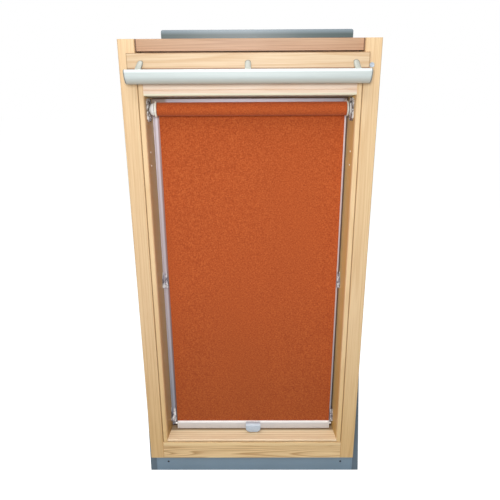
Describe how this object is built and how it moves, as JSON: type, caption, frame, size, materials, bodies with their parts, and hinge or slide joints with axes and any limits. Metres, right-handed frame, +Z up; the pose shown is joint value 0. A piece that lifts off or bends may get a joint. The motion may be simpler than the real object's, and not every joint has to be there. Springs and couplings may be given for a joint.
{
  "type": "skylight window blind",
  "caption": "Centre-pivot pine roof window with a spring roller blind in its sash, a ventilation flap worked by a control bar, and grey sheet claddings outside",
  "frame": {"origin": "middle of the underside of the frame's sill, half way through the frame's depth", "axes": "+X to the right seen from the room, +Y out of the room through the glass, +Z up along the window"},
  "size_m": [0.8426, 0.184, 1.67],
  "materials": {
    "pine": "clear lacquered pine with fine upright grain",
    "head_pine": "clear lacquered pine, a darker board",
    "cloth": "matt burnt orange blind cloth",
    "anodised": "silver anodised, satin",
    "grey_lacquer": "grey lacquered sheet, satin",
    "clear_plastic": "clear moulded plastic",
    "white_plastic": "white moulded plastic",
    "grey_plastic": "light grey moulded plastic",
    "steel": "zinc plated steel",
    "rubber": "black weather seal",
    "glass": "clear float glass",
    "foam": "pale filter foam"
  },
  "bodies": {
    "frame": {"frame_jamb_left": "pine", "frame_jamb_right": "pine", "frame_head": "head_pine", "frame_sill": "pine", "head_seal": "rubber", "sill_seal": "rubber", "pivot_bush_left": "grey_plastic", "pivot_bush_right": "grey_plastic", "side_cladding_left": "grey_lacquer", "side_cladding_right": "grey_lacquer", "apron_return_left": "grey_lacquer", "apron_return_right": "grey_lacquer", "apron": "grey_lacquer", "top_hood": "grey_lacquer", "jamb_plug_right": "grey_plastic"},
    "sash": {"sash_stile_left": "pine", "sash_stile_right": "pine", "pivot_pin_left": "steel", "pivot_pin_right": "steel", "sash_top_rail": "pine", "sash_bottom_rail": "pine", "vent_filter": "foam", "latch_case": "steel", "inner_pane": "glass", "outer_pane": "glass", "pane_spacer": "anodised", "glazing_bead_left": "anodised", "glazing_bead_right": "anodised", "glazing_bead_top": "anodised", "glazing_bead_bottom": "anodised", "sash_cover_left": "grey_lacquer", "sash_cover_right": "grey_lacquer", "sash_cover_bottom": "grey_lacquer", "flap_hinge_rod": "steel", "flap_hinge_eye_left": "steel", "flap_hinge_eye_right": "steel", "spring_shaft": "steel", "roller_spring": "steel", "blind_bracket_left": "clear_plastic", "blind_bracket_right": "clear_plastic", "claw_bottom_left": "clear_plastic", "claw_bottom_right": "clear_plastic", "claw_middle_left": "clear_plastic", "claw_middle_right": "clear_plastic"},
    "flap": {"ventilation_flap": "pine", "control_bar": "anodised", "control_bar_cap_left": "grey_plastic", "control_bar_cap_right": "grey_plastic", "handle_arm_left": "grey_plastic", "handle_arm_middle": "grey_plastic", "handle_arm_right": "grey_plastic"},
    "roller": {"roller_tube": "anodised", "wound_cloth": "cloth", "roller_plug_left": "white_plastic", "roller_plug_right": "white_plastic"},
    "cloth": {"fabric_sheet": "cloth"},
    "bottom_bar_set": {"bottom_bar": "anodised", "bottom_bar_cap_left": "clear_plastic", "bottom_bar_cap_right": "clear_plastic", "pull_handle": "grey_plastic"}
  },
  "joints": [
    {"name": "sash_pivot", "type": "hinge", "parent": "frame", "child": "sash", "pos_m": [0, -0.002, 0.76], "axis": [1, 0, 0], "range_deg": [0, 160]},
    {"name": "flap_hinge", "type": "hinge", "parent": "sash", "child": "flap", "pos_m": [0, -0.0578, 1.398], "axis": [1, 0, 0], "range_deg": [0, 30]},
    {"name": "roller_spin", "type": "hinge", "parent": "sash", "child": "roller", "pos_m": [0, -0.012, 1.3095], "axis": [1, 0, 0], "range_deg": [0, 3103]},
    {"name": "blind_swing", "type": "hinge", "parent": "sash", "child": "cloth", "pos_m": [0, -0.012, 1.3095], "axis": [1, 0, 0], "range_deg": [0, 0.4]},
    {"name": "blind_travel", "type": "slide", "parent": "cloth", "child": "bottom_bar_set", "axis": [0, 0, 1], "range_m": [0, 1.148], "deforming": ["fabric_sheet"]}
  ],
  "couplings": [
    {"joint": "roller_spin", "follows": "blind_travel", "rad_per_m": 47.17}
  ]
}
